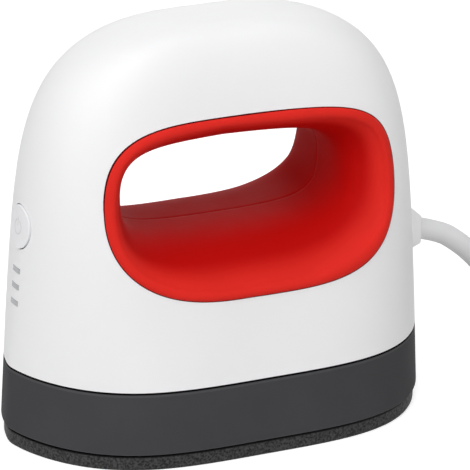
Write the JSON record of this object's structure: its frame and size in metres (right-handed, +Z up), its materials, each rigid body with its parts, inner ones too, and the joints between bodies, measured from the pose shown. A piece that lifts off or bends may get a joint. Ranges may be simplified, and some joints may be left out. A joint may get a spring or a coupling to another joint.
{
  "type": "mini handheld heat press",
  "caption": "Palm-sized heat press: arched white shell with a red-lined handle opening, dark skirt, coated hot plate, end push button, lamp windows and a coiled mains cord.",
  "frame": {"origin": "centre of the hot plate's sole, on the surface that the press stands on", "axes": "+X towards the end where the cord leaves, -X towards the button, -Y and +Y out of the two broad faces, +Z up from the sole"},
  "size_m": [0.2486, 0.0986, 0.1015],
  "materials": {
    "shell_plastic": "fine satin moulding, very light cool grey",
    "liner_plastic": "smooth satin red moulding",
    "skirt_plastic": "satin heat-resistant moulding, dark grey",
    "plate_coating": "cast aluminium with a black grained non-stick coat",
    "sheath_steel": "annealed steel tube",
    "bright_steel": "zinc-plated",
    "spring_steel": "bright strip",
    "bare_brass": "bright",
    "white_ceramic": "unglazed steatite",
    "mica": "pressed mica sheet",
    "black_plastic": "moulded",
    "button_plastic": "smooth satin",
    "milky_plastic": "translucent",
    "board_laminate": "glass-fibre board",
    "can_sleeve": "shrunk sleeve",
    "film_case": "potted case",
    "terminal_plastic": "moulded",
    "wire_insulation": "sleeved wire",
    "cord_jacket": "soft satin jacket, light grey",
    "tie_strap": "hook strap",
    "pin_metal": "nickel-plated brass"
  },
  "bodies": {
    "press": {"outer_shell": "shell_plastic", "handle_liner_front": "liner_plastic", "handle_liner_rear": "liner_plastic", "liner_screws": "bright_steel", "base_skirt": "skirt_plastic", "skirt_screws": "bright_steel", "heat_plate": "plate_coating", "heating_element": "sheath_steel", "element_terminals": "bare_brass", "element_clamps": "spring_steel", "clamp_screws": "bright_steel", "temperature_sensor": "white_ceramic", "thermal_fuse": "white_ceramic", "sensor_clips": "spring_steel", "insulation_sheet": "mica", "heat_shield": "bright_steel", "plate_standoffs": "white_ceramic", "plate_screws": "bright_steel", "tact_switch": "black_plastic", "light_guide": "milky_plastic", "indicator_leds": "milky_plastic", "control_board": "board_laminate", "board_screws": "bright_steel", "board_carrier": "black_plastic", "carrier_screws": "bright_steel", "power_board": "board_laminate", "power_board_screws": "bright_steel", "relay": "black_plastic", "film_capacitor": "film_case", "smoothing_capacitor": "can_sleeve", "terminal_block": "terminal_plastic", "terminal_screws": "bright_steel", "mains_leads": "wire_insulation", "strain_relief": "cord_jacket", "power_cord": "cord_jacket", "cord_coil": "cord_jacket", "coil_tie": "tie_strap", "cord_tail": "cord_jacket", "plug_body": "cord_jacket", "plug_pins": "pin_metal"},
    "button": {"power_button": "button_plastic", "switch_plunger": "black_plastic"}
  },
  "joints": [
    {"name": "button_press", "type": "slide", "parent": "press", "child": "button", "axis": [1, 0, 0], "range_m": [0, 0.0005], "stiffness_N_per_m": 400}
  ]
}
